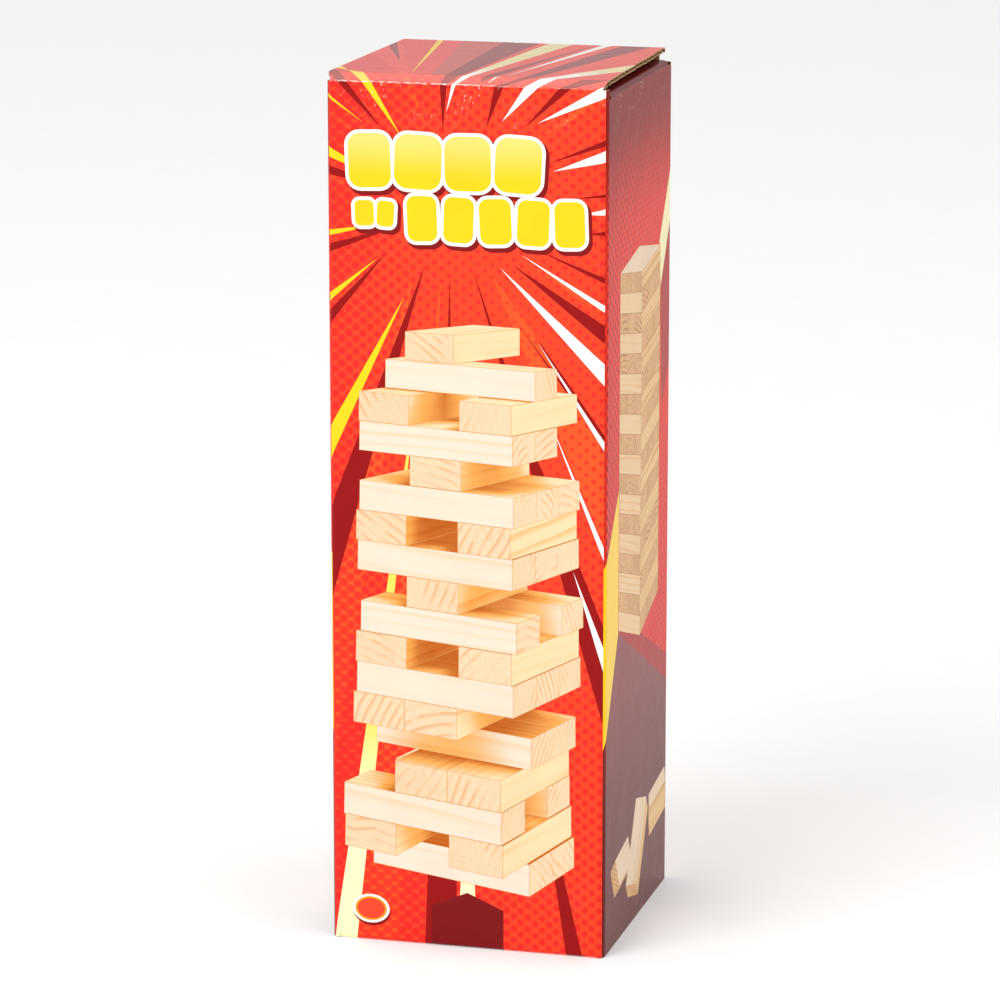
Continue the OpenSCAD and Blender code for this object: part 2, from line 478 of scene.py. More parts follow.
# ---- artwork of the front and the lid
# Rays of the burst: finish, tip, direction and spread in degrees.
FRONT_RAYS = [
    ("orange", (18, 141), 257, 7), ("orange", (24, 141), 264, 4), ("orange", (34, 142), 300, 13),
    ("orange", (40, 145), 331, 5), ("orange", (42, 168), 34, 7), ("orange", (14, 158), 174, 5),
    ("orange", (9, 168), 152, 7), ("orange", (21, 170), 112, 8),
    ("yellow", (7.8, 171.1), 144.5, 3.4), ("maroon", (11.8, 169.9), 131.8, 7.0),
    ("yellow", (12.2, 159.7), 155.7, 8.2), ("maroon", (15.2, 157.9), 166.9, 6.8),
    ("yellow", (10.4, 150.6), 191.4, 6.3), ("maroon", (15.8, 150.8), 199.1, 5.8),
    ("yellow", (10.6, 143.8), 219.4, 5.5), ("maroon", (12.7, 145.3), 228.6, 5.9),
    ("maroon", (20.7, 143.4), 251.2, 5.6), ("yellow", (16.1, 136.1), 242.7, 5.1),
    ("maroon", (25.7, 141.7), 269.1, 2.8), ("maroon", (45.9, 164.3), 21.0, 5.4),
    ("white", (47, 162.8), 17.0, 11.4), ("maroon", (50.4, 157.4), 7.1, 5.2),
    ("white", (53, 154.4), 7.3, 14.6), ("maroon", (54, 150.5), 3.5, 15.6),
    ("maroon", (43.4, 147), 338.0, 4.0), ("white", (40.4, 145.8), 329.2, 3.4),
    ("maroon", (38.5, 143.8), 325.0, 7.3), ("white", (36.1, 142.9), 316.2, 6.1),
    ("maroon", (30.3, 142.9), 287.8, 2.9), ("maroon", (38.2, 133.6), 307.8, 1.6),
    ("maroon", (43, 130), 303.9, 4.4), ("white", (44, 128), 303.7, 2.5),
    ("white", (46.5, 112), 292.7, 2.1), ("maroon", (44, 104), 289, 6),
    ("white", (51.3, 81.5), 289.6, 5.0), ("maroon", (44, 40), 281.1, 4.8),
    ("beam", (18.6, 117.5), 262.4, 2.3), ("beam", (29.4, 40), 269.5, 6.5)]


def crossing(finish, tip, at_fold, at_lid, far):
    """A ray that runs over the lid's front fold, given where its two edges meet each crease
    and where they end."""
    left = [(at_fold[0], FOLD_V), (at_lid[0], LID_V)]
    right = [(at_lid[1], LID_V), (at_fold[1], FOLD_V)]
    return Paint([tip] + left + list(far) + right, finish)


def lid_rays():
    """Rays that cross the lid's front fold, and those that lie on the lid."""
    rear = REAR_V + 30
    return [
        Paint([(21.5, LID_V), (9.5, rear), (21.3, rear), (25.6, LID_V)], "rust"),
        crossing("yellow", (15.6, 168.7), (7.6, 9.5), (4.8, 7.4), [(0, LID_V + 9), (0, LID_V + 5)]),
        crossing("maroon", (24.3, 169.6), (23.7, 25.1), (24.5, 27.6), [(21.3, rear), (32, rear)]),
        crossing("white", (25, 173.8), (26.1, 26.9), (28.2, 29.8), [(34.6, rear), (42.1, rear)]),
        crossing("maroon", (33.1, 170.6), (34.9, 36.8), (40.2, 42.4), [(52.5, rear), (61, rear)]),
        Paint([(31.8, FOLD_V + 0.7), (34.6, LID_V), (47.2, rear), (48.2, rear)], "maroon"),
        Paint([(36.3, LID_V + 0.8), (48.2, rear), (51.3, rear)], "white"),
        Paint([(33.2, FOLD_V + 0.5), (35.9, LID_V + 0.4), (35.2, LID_V + 0.4)], "white"),
        crossing("white", (36.5, 172.4), (41, 43.7), (44.3, 47.4), [(58, LID_V + 25.5), (58, LID_V + 15)]),
        crossing("maroon", (40.8, 171), (48.0, 50.4), (52.6, 58), [(58, LID_V + 1)]),
        Paint([(28.2, LID_V), (34.6, rear), (42.1, rear), (29.8, LID_V)], "straw"),
        Paint([(48.5, LID_V + 8.6), (58, LID_V + 25.5), (58, LID_V + 15), (51, LID_V + 5.2)], "straw"),
        Paint([(43.8, 172.3), (58, 180.6), (58, 177.9)], "white"),
        Paint([(17.2, LID_V), (3.2, rear), (5.2, rear)], "yellow"),
        Paint([(9.7, LID_V + 18.4), (0, LID_V + 43), (0, LID_V + 50)], "maroon")]


def title_tiles():
    """Two rows of blank tiles, each with a white rim and a dark shadow."""
    rows = [(163.6, 11.0, [(9.0, 8.8, 2), (19.1, 9.8, -2), (29.4, 9.6, 1), (39.8, 9.6, -3)]),
            (152.9, 5.2, [(7.9, 4.0, 2), (12.3, 3.6, -3)]),
            (152.2, 9.2, [(19.9, 6.2, 2), (27.5, 6.2, -2), (35.1, 6.6, 3), (42.9, 6.6, -2),
                          (50.4, 6.2, 2)])]
    tiles = [(u, v, width, height, tilt) for v, height, row in rows for u, width, tilt in row]
    layers = [("shadow", (0.6, -0.7), 0.9), ("white", (0, 0), 0.7), ("tile", (0, 0), 0)]
    return [tile(finish, (u + shift[0], v + shift[1]), width, height, tilt, grow)
            for finish, shift, grow in layers for u, v, width, height, tilt in tiles]


def badge():
    """A blank oval badge with a rim, a ring and a shadow."""
    centre = Vector((8.4, 6.9))
    sizes = [("shadow", (0.2, -0.6), 4.0, 3.1), ("white", (0, 0), 4.0, 3.1), ("ring", (0, 0), 3.4, 2.6),
             ("tomato", (0, 0), 2.95, 2.2)]
    return [Paint(ellipse(centre + Vector(shift), width, height), finish)
            for finish, shift, width, height in sizes]


def front_art(layers):
    """Everything printed on the front wall and the lid, lowest first."""
    shapes = [ray(*values) for values in FRONT_RAYS] + lid_rays() + title_tiles()
    shapes += tower_picture(layers, perspective, 5)
    label = Paint([(21.4, -3), (36.8, -3), (36.8, 8.6), (29.1, 11.9), (21.4, 8.6)], "label")
    return shapes + [label] + badge()


def side_art():
    """Everything printed on a side wall, lowest first."""
    shapes = [
        Paint([(0, 0), (58, 0), (58, 44.2), (11.5, 66.1), (0, 43.6)], "side_foot"),
        Paint([(11.5, 66.1), (58, 44.2), (58, 50), (30, 62), (20, 70)], "side_dim"),
        Paint([(48.1, 131.7), (58, 146.7), (58, 116), (50, 106)], "side_dim"),
        Paint([(11.5, 96.1), (0, 81.7), (0, 43.6), (11.5, 66.1)], "yellow"),
        Paint([(58, 157.4), (46.9, 141.7), (48.1, 131.7), (58, 146.7)], "cream")]
    shapes += tower_picture(FULL_TOWER, oblique, 8, 3, "brown")
    shapes += loose_block((9.4, 10.2), (11.2, 1.9), (-3.5, 6.5), (4.4, 1.4), 1)
    shapes += loose_block((41.2, 14.2), (15, 2.1), (-0.7, 3.2), (0, 6.2), 2)
    return shapes + loose_block((30.8, 4.4), (9.0, 16.5), (-9.2, 2.2), (-1.8, 3.0), 3)


def on_wall(name, shapes, top):
    """Artwork moved to its wall along the unrolled tube and cut at the wall's folds."""
    shift = wall_shift(name)
    half = FLATS[WALLS[name]] / 2 + TURN / 2
    middle = shift + HALF_PANEL
    moved = [shape.moved(lambda p: p + Vector((shift, 0))) for shape in shapes]
    return within(moved, (middle - half, 0), (middle + half, top))


# ---- meshes
class Piece:
    """Collects the faces of one piece, with what each corner carries for the materials."""

    def __init__(self):
        self.points = []
        self.faces = []
        self.finishes = []
        self.corners = []

    def face(self, ids, finish, normals, blanks, grains=None, shades=None):
        """One face: corner numbers, finish, and a value of each kind for each corner."""
        self.faces.append(ids)
        self.finishes.append(finish)
        grains = grains or [Vector((0, 0, 0))] * len(ids)
        shades = shades or [1.0] * len(ids)
        self.corners += zip(normals, blanks, grains, shades)

    def made(self, name):
        """The piece as an object in metres."""
        mesh = bpy.data.meshes.new(name)
        mesh.from_pydata([p * MM for p in self.points], [], self.faces)
        order = sorted(set(self.finishes))
        for finish in order:
            mesh.materials.append(MATERIALS[finish])
        mesh.polygons.foreach_set("material_index", [order.index(finish) for finish in self.finishes])
        normals, blanks, grains, shades = zip(*self.corners)
        for label, values in (("blank", blanks), ("grain", grains)):
            layer = mesh.attributes.new(label, "FLOAT_VECTOR", "CORNER")
            layer.data.foreach_set("vector", [number for value in values for number in value])
        mesh.attributes.new("shade", "FLOAT", "CORNER").data.foreach_set("value", shades)
        mesh.normals_split_custom_set([tuple(normal) for normal in normals])
        mesh.validate()
        return placed(name, mesh)


def settle(made, node=None, body=None):
    """Hides the CAD node that an object stands for, and hangs the object on the body it rides on."""
    if node:
        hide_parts(node)
    if body:
        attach(made, body)


def sheet(piece, outline, place, shapes=(), cuts=(), thickness=BOARD, sunk=0.0,
          faces=("red", "kraft"), offset=lambda s: 0.0):
    """Adds a board: its outline and artwork in the blank, and place(), which folds them."""
    outline = [Vector(p) for p in outline]
    points = []
    lines = []
    for ring in [outline] + [shape.points for shape in shapes]:
        lines += [(len(points) + k, len(points) + (k + 1) % len(ring)) for k in range(len(ring))]
        points += ring
    for a, b in cuts:
        lines.append((len(points), len(points) + 1))
        points += [Vector(a), Vector(b)]
    spots, _, triangles, _, _, _ = delaunay_2d_cdt(points, lines, [], 0, 1e-4)
    gallery = Gallery(shapes)
    middles = {tuple(ids): sum((spots[k] for k in ids), Vector((0, 0))) / 3 for ids in triangles}
    inside = [ids for ids in triangles if holds(outline, middles[tuple(ids)])]
    numbers = {k: n for n, k in enumerate(sorted({k for ids in inside for k in ids}), len(piece.points))}
    count = len(numbers)
    piece.points += [place(spots[k].x, spots[k].y, sunk) for k in numbers]
    piece.points += [place(spots[k].x, spots[k].y, sunk + thickness) for k in numbers]
    borders = {}
    for ids in inside:
        middle = middles[tuple(ids)]
        shape = gallery.top(middle)
        shift = offset(middle.x)
        blanks = [Vector((spots[k].x - shift, spots[k].y, 0)) for k in ids]
        # The normal is taken a little inside the face, so that a bend's edge keeps its side.
        inner = [spots[k].lerp(middle, 0.02) for k in ids]
        normals = [(place(p.x, p.y, 0) - place(p.x, p.y, 0.5)).normalized() for p in inner]
        carried = [shape.carried(spots[k]) for k in ids] if shape else [(Vector((0, 0, 0)), 1.0)] * 3
        grains, shades = (list(values) for values in zip(*carried))
        finish = shape.finish if shape else faces[0]
        piece.face([numbers[k] for k in ids], finish, normals, blanks, grains, shades)
        back = [count + numbers[k] for k in ids[::-1]]
        sunk_blanks = [blank + Vector((0, 0, thickness)) for blank in blanks[::-1]]
        piece.face(back, faces[1], [-normal for normal in normals[::-1]], sunk_blanks)
        for a, b in zip(ids, ids[1:] + ids[:1]):
            if (b, a) in borders:
                del borders[b, a]
            else:
                borders[a, b] = shift
    for (a, b), shift in borders.items():
        ring = [numbers[b], numbers[a], count + numbers[a], count + numbers[b]]
        corner, beside, _, below = (piece.points[k] for k in ring)
        flat = (beside - corner).cross(below - corner)
        blanks = [Vector((spots[k].x - shift, spots[k].y, depth)) for k, depth in
                  ((b, 0), (a, 0), (a, thickness), (b, thickness))]
        piece.face(ring, "raw_edge", [flat.normalized()] * 4, blanks)


def centred(outline):
    """An outline drawn about the middle of a panel, as points of the blank."""
    return [Vector((HALF_PANEL + x, v)) for x, v in outline]


def cross_cuts(places, low, high):
    """Straight lines across a sheet, so that it can bend there."""
    return [((low, v), (high, v)) for v in places]


def arc_places(start, length, steps):
    """Where a bend needs lines."""
    return [start + length * k / steps for k in range(steps + 1)]


# ---- materials
WHITE = (1, 1, 1, 1)
BLACK = (0, 0, 0, 1)
MATERIALS = {}


def srgb(red, green, blue):
    """Linear colour of a tone given on the 0 to 255 scale of a print."""
    def linear(value):
        value /= 255
        return value / 12.92 if value <= 0.04045 else ((value + 0.055) / 1.055) ** 2.4
    return (linear(red), linear(green), linear(blue), 1.0)


def add_node(tree, kind, inputs, output=0, **settings):
    """A node with its settings, and its inputs linked or set. Gives one of its outputs."""
    node = tree.nodes.new("ShaderNode" + kind)
    for key, value in settings.items():
        setattr(node, key, value)
    for key, value in inputs.items():
        if isinstance(value, Value):
            tree.links.new(value.socket, node.inputs[key])
        else:
            node.inputs[key].default_value = value
    return Value(node.outputs[output]) if node.outputs else None


class Value:
    """A number, place or colour in a material. Working with it adds the nodes for that."""

    def __init__(self, socket):
        self.socket = socket

    def node(self, kind, inputs, output=0, **settings):
        return add_node(self.socket.id_data, kind, inputs, output, **settings)

    def math(self, operation, other=0.0):
        return self.node("Math", {0: self, 1: other}, operation=operation)

    def __add__(self, other):
        return self.math("ADD", other)

    def __sub__(self, other):
        return self.math("SUBTRACT", other)

    def __mul__(self, other):
        return self.math("MULTIPLY", other)

    def __truediv__(self, other):
        return self.math("DIVIDE", other)

    def __abs__(self):
        return self.math("ABSOLUTE")

    def length(self, other):
        """Length of the flat vector with these two parts."""
        return (self * self + other * other).math("SQRT")

    def parts(self):
        """The three parts of a vector."""
        split = self.node("SeparateXYZ", {0: self}).socket.node
        return [Value(socket) for socket in split.outputs]

    def step(self, low, high):
        """Smooth step from 0 to 1 as this value goes from low to high."""
        inputs = {0: self, 1: low, 2: high}
        return self.node("MapRange", inputs, interpolation_type="SMOOTHSTEP")

    def mix(self, a, b):
        """Colour that goes from a to b as this value goes from 0 to 1."""
        return self.node("Mix", {0: self, 6: a, 7: b}, 2, data_type="RGBA")

    def tinted(self, colour, share=1.0, blend="MULTIPLY"):
        """This colour blended with a share of another."""
        return self.node("Mix", {0: share, 6: self, 7: colour}, 2, data_type="RGBA", blend_type=blend)

    def noise(self, scale, detail=2.0, stretch=(1.0, 1.0, 1.0)):
        """Noise at this place. A large stretch makes it fine along that axis."""
        place = self.node("VectorMath", {0: self, 1: stretch}, operation="MULTIPLY")
        return self.node("TexNoise", {"Vector": place, "Scale": scale, "Detail": detail})


def start(name, *carried):
    """Starts a material and gives what a piece's corners carry to it under these names."""
    material = MATERIALS[name] = bpy.data.materials.new(name)
    material.use_nodes = True
    tree = material.node_tree
    tree.nodes.clear()
    return [add_node(tree, "Attribute", {}, "Vector", attribute_name=each) for each in carried]


def surface(colour, roughness, height, coat=0.0, specular=0.04, glow=0.0):
    """The finished surface, with a thin varnish if coat is above 0. height is the bump's
    height in millimetres."""
    bump = height.node("Bump", {"Height": height, "Distance": MM, "Strength": 1.0})
    inputs = {"Base Color": colour, "Roughness": roughness, "Normal": bump, "Coat Weight": coat,
              "Coat Roughness": 0.16, "Coat IOR": 1.22, "Specular IOR Level": specular,
              "Emission Color": WHITE, "Emission Strength": glow}
    height.node("OutputMaterial", {"Surface": height.node("BsdfPrincipled", inputs)})


def halftone(u, v, ground, dot, size):
    """Staggered rows of darker dots that grow away from the burst's middle."""
    pitches = (3.0, 2.54)
    middle = (30.0, 118.0)
    rows = []
    for shift in (0.0, 0.5):
        across, up = [((value / pitch + shift).math("FRACT") - 0.5) * pitch
                      for value, pitch in zip((u, v), pitches)]
        rows.append(across.length(up))
    reach = (u - middle[0]).length((v - middle[1]) * 0.42)
    lean = u.step(60.0, -8.0) * 0.42 + 0.24
    radius = (reach.step(6.0, 44.0) * 0.45 + lean) * size
    return (radius - rows[0].math("MINIMUM", rows[1])).step(-0.16, 0.16).mix(ground, dot)


def print_wear_and_sheen(tone, blank, crease=True):
    """Ink with a fine mottle, small white scratches, a scuffed crease at the lid's fold, and a painted
    sheen that lightens the strip between the lid's two creases.
    """
    u, v, _ = blank.parts()
    cloud = blank.noise(0.09).step(0.35, 0.75) * 0.04
    tone = cloud.mix(tone, BLACK)
    speck = blank.noise(5.0, 3.0).step(0.72, 0.8)
    tone = speck.mix(tone, tone.tinted(WHITE, 0.35, "MIX"))
    if not crease:
        return tone
    broken = blank.noise(1.3, 4.0, (0.7, 5.0, 1.0)).step(0.46, 0.54)
    low = abs(v - (FOLD_V + 0.15))
    crack = low.step(0.26, 0.06) * broken * (u.step(44.0, 26.0) * 0.7 + 0.3)
    rub = v.step(FOLD_V - 12.0, FOLD_V) * v.step(FOLD_V + 0.5, FOLD_V)
    rub = rub * blank.noise(0.16).step(0.52, 0.66)
    rub = rub * blank.noise(1.3, 5.0, (1.7, 0.9, 1.0)).step(0.6, 0.66)
    worn = crack.math("MAXIMUM", rub * 0.7)
    # Painted sheen: the narrow strip between the lid's two creases is lightened towards a pale pink.
    strip = v.step(FOLD_V, FOLD_V + 0.7) * v.step(LID_V + 0.4, LID_V - 0.4)
    tone = (strip * 0.2).mix(tone, srgb(255, 230, 222))
    return (worn * 0.85).mix(tone, srgb(255, 236, 226))


def flute_wave(v):
    """The wave of the board's flutes, from -1 to 1."""
    return (v * (2 * math.pi / FLUTE_PITCH)).math("SINE")


def washboard(blank, depth=0.007):
    """Height of the paper over the flutes, with its own grain and a slow buckle."""
    v = blank.parts()[1]
    paper = flute_wave(v) * depth + blank.noise(6.0, 3.0) * 0.008
    return blank.noise(0.12) * 0.25 + paper


def printed(name, colour, dot=None, size=1.0, fade=None, coat=0.6):
    """Varnished print in one ink, with halftone dots or a fade up the wall if asked."""
    blank, = start(name, "blank")
    u, v, _ = blank.parts()
    tone = srgb(*colour)
    if dot:
        tone = halftone(u, v, tone, srgb(*dot), size)
    if fade:
        other, low, high = fade
        tone = (v.step(low, high) * 0.85).mix(tone, srgb(*other))
    roughness = blank.noise(1.5) * 0.15 + 0.34
    surface(print_wear_and_sheen(tone, blank), roughness, washboard(blank), coat)


def wood_tone(grain, pale, late):
    """Softwood cut from a log: rings about the grain's axis, and fine fibres along it."""
    ring_pitch = 2.6
    _, across, up = grain.parts()
    radius = grain.noise(1.0, stretch=(0.008, 0.04, 0.04)) * 7.0 + across.length(up)
    turn = (radius / ring_pitch).math("FRACT")
    patch = grain.noise(1.0, stretch=(0.004, 0.09, 0.09)).step(0.42, 0.62)
    ring = turn.step(0.45, 0.9) * turn.step(1.0, 0.93) * (patch * 0.75 + 0.12)
    fibre = grain.noise(1.0, 3.0, (0.05, 2.2, 2.2))
    warm = grain.noise(1.0, stretch=(0.0006, 0.006, 0.006)).step(0.35, 0.65)
    tone = (warm * 0.14).mix(ring.mix(pale, late), late)
    return (fibre.step(0.5, 0.75) * 0.22).mix(tone, late), fibre


def picture_wood(name, pale, late, speckle=0.0, coat=0.6):
    """A printed picture of wood, with orange shade where blocks hide it from the light."""
    blank, grain = start(name, "blank", "grain")
    shade = blank.node("Attribute", {}, "Fac", attribute_name="shade")
    tone, _ = wood_tone(grain, srgb(*pale), srgb(*late))
    pores = grain.noise(1.1, 4.0).step(0.5, 0.62)
    tone = (pores * speckle).mix(tone, srgb(*late))
    warm = tone.tinted(srgb(246, 200, 128))
    deep = tone.tinted(srgb(196, 116, 44))
    tone = shade.step(0.28, 0.62).mix(warm, tone)
    tone = shade.step(0.02, 0.34).mix(deep, tone)
    surface(print_wear_and_sheen(tone, blank, crease=False), 0.42, washboard(blank), coat)


def block_wood():
    """Bare sanded softwood."""
    grain, = start("block_wood", "grain")
    tone, fibre = wood_tone(grain, srgb(240, 214, 170), srgb(196, 142, 88))
    surface(tone, fibre * 0.15 + 0.55, fibre * 0.05, specular=0.3)


def kraft():
    """Unprinted liner paper, with the flutes showing through and flecks of fibre."""
    blank, = start("kraft", "blank")
    colour = (176, 134, 92)
    dark = [value * 0.8 for value in colour]
    fleck = blank.noise(1.4, 4.0, (0.6, 3.0, 1.0)).step(0.4, 0.72)
    surface(fleck.mix(srgb(*colour), srgb(*dark)), 0.85, washboard(blank, 0.03), specular=0.2)


def raw_edge():
    """A cut through the board: two liners with the wavy medium between them, and painted shade, a dark
    brown, in the hollow flutes between the papers.
    """
    blank, = start("raw_edge", "blank")
    _, v, depth = blank.parts()
    middle = flute_wave(v) * (0.3 * BOARD) + BOARD / 2
    medium = abs(depth - middle).step(0.14, 0.06)
    liner = abs(depth - BOARD / 2).step(0.3, 0.36)
    paper = medium.math("MAXIMUM", liner)
    tone = (blank.noise(4.0, 4.0) * 0.6).mix(srgb(214, 182, 138), srgb(160, 120, 80))
    # Painted shade: wherever there is no paper, the hollow flutes are coloured dark brown.
    surface(paper.mix(srgb(70, 44, 26), tone), 0.9, paper * 0.15, specular=0.2)


def make_materials():
    """Makes every finish."""
    white = (250, 246, 238)
    inks = {"maroon": (148, 10, 12), "yellow": (252, 208, 28), "cream": (250, 238, 180),
            "white": white, "rust": (205, 70, 54), "shadow": (130, 14, 18),
            "ring": (246, 150, 34), "tomato": (240, 70, 42), "label": (122, 14, 18)}
    for name, colour in inks.items():
        printed(name, colour)
    printed("red", (246, 66, 36), (226, 40, 32), 0.95)
    printed("orange", (252, 84, 36), (236, 50, 32), 0.95)
    printed("tile", (250, 204, 24), fade=((248, 218, 124), 160.0, 169.5))
    printed("straw", white, fade=((234, 212, 136), LID_V + 2, LID_V + 15))
    printed("beam", (250, 240, 190), fade=((250, 214, 50), 26.0, 52.0))
    printed("side_red", (230, 50, 30), (186, 34, 30), 0.8, ((116, 20, 20), 146.0, 174.0), 0.25)
    printed("side_foot", (102, 30, 28), fade=((140, 44, 40), 20.0, 60.0), coat=0.5)
    printed("side_dim", (176, 40, 34), coat=0.3)
    printed("side_top", (120, 20, 26), coat=0.5)
    printed("picture_gap", (206, 150, 86))
    printed("brown_gap", (170, 112, 64), coat=0.25)
    picture_wood("picture_side", (247, 219, 200), (240, 204, 168))
    picture_wood("picture_flank", (246, 212, 168), (232, 180, 118))
    picture_wood("picture_end", (243, 208, 172), (222, 170, 124), 0.2)
    picture_wood("picture_top", (246, 216, 176), (230, 172, 104))
    picture_wood("brown_side", (240, 204, 158), (228, 178, 120), coat=0.25)
    picture_wood("brown_flank", (236, 196, 140), (206, 148, 84), coat=0.25)
    picture_wood("brown_end", (228, 180, 126), (176, 118, 66), 0.4, coat=0.25)
    picture_wood("brown_top", (238, 214, 184), (226, 190, 146), coat=0.25)
    kraft()
    raw_edge()
    block_wood()


# ---- the carton
def carton_walls():
    """Four walls folded from one strip, with its ends meeting at the rear left corner."""
    front = wall_start(1)
    front_end = front + FLATS[1]
    sides = [front - TURN, front_end + TURN, wall_start(3) - TURN]
    outline = [
        (SLIT, FOOT), (front, FOOT), (front, BOTTOM_R), (front_end, BOTTOM_R), (front_end, FOOT),
        (TUBE_LENGTH, FOOT), (TUBE_LENGTH, BACK_TOP), (sides[2], BACK_TOP), (sides[2], SIDE_TOP),
        (sides[1], SIDE_TOP), (sides[1], FOLD_V), (sides[0], FOLD_V), (sides[0], SIDE_TOP),
        (SLIT, SIDE_TOP)]
    right_art = side_art()
    left_art = [shape.moved(lambda p: Vector((2 * HALF_PANEL - p.x, p.y))) for shape in right_art]
    ground = [Paint([(-1, 0), (59, 0), (59, HEIGHT), (-1, HEIGHT)], "side_red")]
    art = on_wall("left", ground, HEIGHT) + on_wall("right", ground, HEIGHT)
    art += on_wall("left", left_art, SIDE_TOP) + on_wall("front", front_art(PLAYED_TOWER), FOLD_V)
    art += on_wall("right", right_art, SIDE_TOP) + on_wall("back", front_art(FULL_TOWER), BACK_TOP)
    bends = [s for k in range(4) for s in arc_places(wall_start(k + 1) - TURN, TURN, CORNER_STEPS)]
    cuts = [((s, -1), (s, HEIGHT)) for s in bends]
    piece = Piece()
    sheet(piece, outline, place_tube, art, cuts, offset=tube_offset)
    settle(piece.made("carton_walls"), "carton_tube", "carton")


LID_STEPS = [(CREASE_LENGTH, -45), (STRIP_RUN, 0), (CREASE_LENGTH, -45), (100, 0)]
lid_place = folded(FOLD_V, (-WALL_Y, FOLD_V), 90, LID_STEPS)
tuck_place = folded(REAR_V, (LID_REAR_Y, HEIGHT), 0, [(TUCK_R * math.pi / 2, -90), (100, 0)])


def ragged(start, end, steps, size, seed):
    """Points between two ends, pushed a little to the side at random."""
    chance = random.Random(seed)
    start, end = Vector(start), Vector(end)
    side = (end - start).orthogonal().normalized()
    return [start.lerp(end, k / steps) + side * chance.uniform(0, size) for k in range(1, steps)]


def lid_outline(front_v):
    """Outline of the lid from a line near its front to its rear fold, with the thumb slit."""
    left, right = (-LID_HIGH.x, front_v), (LID_HIGH.x, front_v)
    rear = (LID_REAR_HALF, REAR_V)
    half_angle = math.degrees(math.asin((MOON_Y - LID_REAR_Y) / MOON_R))
    moon = arc((0, MOON_V), MOON_R, -half_angle, -180 + half_angle, 20)
    outline = [left, right] + ragged(right, rear, 60, 0.35, 3) + [rear] + moon
    return centred(outline + [(-LID_REAR_HALF, REAR_V)])


def corrugation(piece):
    """The wavy medium inside the lid, seen at its cut edges."""
    amplitude = BOARD * 0.3
    thickness = BOARD * 0.12
    middle = HEIGHT - BOARD / 2
    count = 160
    start = len(piece.points)
    for k in range(count + 1):
        y = LID_FRONT_Y + (LID_REAR_Y - LID_FRONT_Y) * k / count
        half = LID_HIGH.x + (LID_REAR_HALF - LID_HIGH.x) * k / count - 0.2
        z = middle + amplitude * math.sin(2 * math.pi * y / FLUTE_PITCH)
        for x, lift in ((-half, thickness), (half, thickness), (half, -thickness), (-half, -thickness)):
            piece.points.append(Vector((x, y, z + lift / 2)))
    rings = [[start + 4 * k + n for n in range(4)] for k in range(count + 1)]
    quads = [rings[0], rings[-1][::-1]]
    for a, b in zip(rings, rings[1:]):
        quads += [[a[n], b[n], b[(n + 1) % 4], a[(n + 1) % 4]] for n in range(4)]
    for quad in quads:
        p = [piece.points[k] for k in quad]
        normal = (p[2] - p[0]).cross(p[3] - p[1]).normalized()
        piece.face(quad, "kraft", [normal] * 4, [Vector((q.x, q.y, 0)) for q in p])


def lid_panel():
    """The lid: its front fold, then the outer liner, the wavy medium and the inner liner."""
    art = within(front_art([]), (0, FOLD_V), (58, REAR_V + 1))
    half = LID_HIGH.x
    bends = arc_places(FOLD_V, CREASE_LENGTH, 3) + arc_places(LID_V - CREASE_LENGTH, CREASE_LENGTH, 3)
    fold_end = LID_V + 0.6
    root = WALL_X - CORNER_R + 0.5
    fold = centred([(-root, FOLD_V), (root, FOLD_V), (half, LID_V), (half, fold_end),
                    (-half, fold_end), (-half, LID_V)])
    piece = Piece()
    sheet(piece, fold, lid_place, within(art, (0, 0), (58, fold_end)), cross_cuts(bends, -1, 60))
    liner = 0.2 * BOARD
    outline = lid_outline(fold_end)
    sheet(piece, outline, lid_place, art, thickness=liner)
    sheet(piece, outline, lid_place, thickness=liner, sunk=BOARD - liner, faces=PLAIN)
    corrugation(piece)
    lid = piece.made("lid_panel")
    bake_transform(lid)
    settle(lid, "lid")


def tuck_flap():
    """The flap that goes in at the back wall, with the thumb tab as its own piece."""
    fold = TUCK_R * math.pi / 2
    low = REAR_V + fold + (HEIGHT - TUCK_R - TUCK_LOW.z)
    half = TUCK_HIGH.x
    gap = MOON_R + MOON_PLAY
    radius = 4.0
    notch = REAR_V + fold * 0.8
    outline = [(-LID_REAR_HALF, REAR_V), (-gap, REAR_V), (-gap, notch), (gap, notch), (gap, REAR_V),
               (LID_REAR_HALF, REAR_V), (half, REAR_V + fold)]
    outline += arc((half - radius, low - radius), radius, 0, 90)
    outline += arc((radius - half, low - radius), radius, 90, 180)
    outline.append((-half, REAR_V + fold))
    art = within(front_art([]), (0, REAR_V), (58, low))
    bends = cross_cuts(arc_places(REAR_V, fold, 6), -1, 60)
    piece = Piece()
    sheet(piece, centred(outline), tuck_place, art, bends)
    flap = piece.made("lid_tuck")
    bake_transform(flap)
    settle(flap, "lid_tuck_flap")

    reach = MOON_R - MOON_PLAY
    tab = arc((0, MOON_V), reach, 180, 360, 24) + [(reach, notch), (-reach, notch)]
    art = within(front_art([]), (0, REAR_V - 10), (58, low))
    piece = Piece()
    sheet(piece, centred(tab), thumb_place, art, bends)
    settle(piece.made("lid_thumb_tab"), body="lid_tuck")


def thumb_place(u, v, depth):
    """The thumb tab lies level with the lid and bends down to the tuck flap."""
    if v >= REAR_V:
        return tuck_place(u, v, depth)
    sag = 0.03 * (REAR_V - v)
    return Vector((u - HALF_PANEL, LID_REAR_Y + v - REAR_V, HEIGHT - depth - sag))


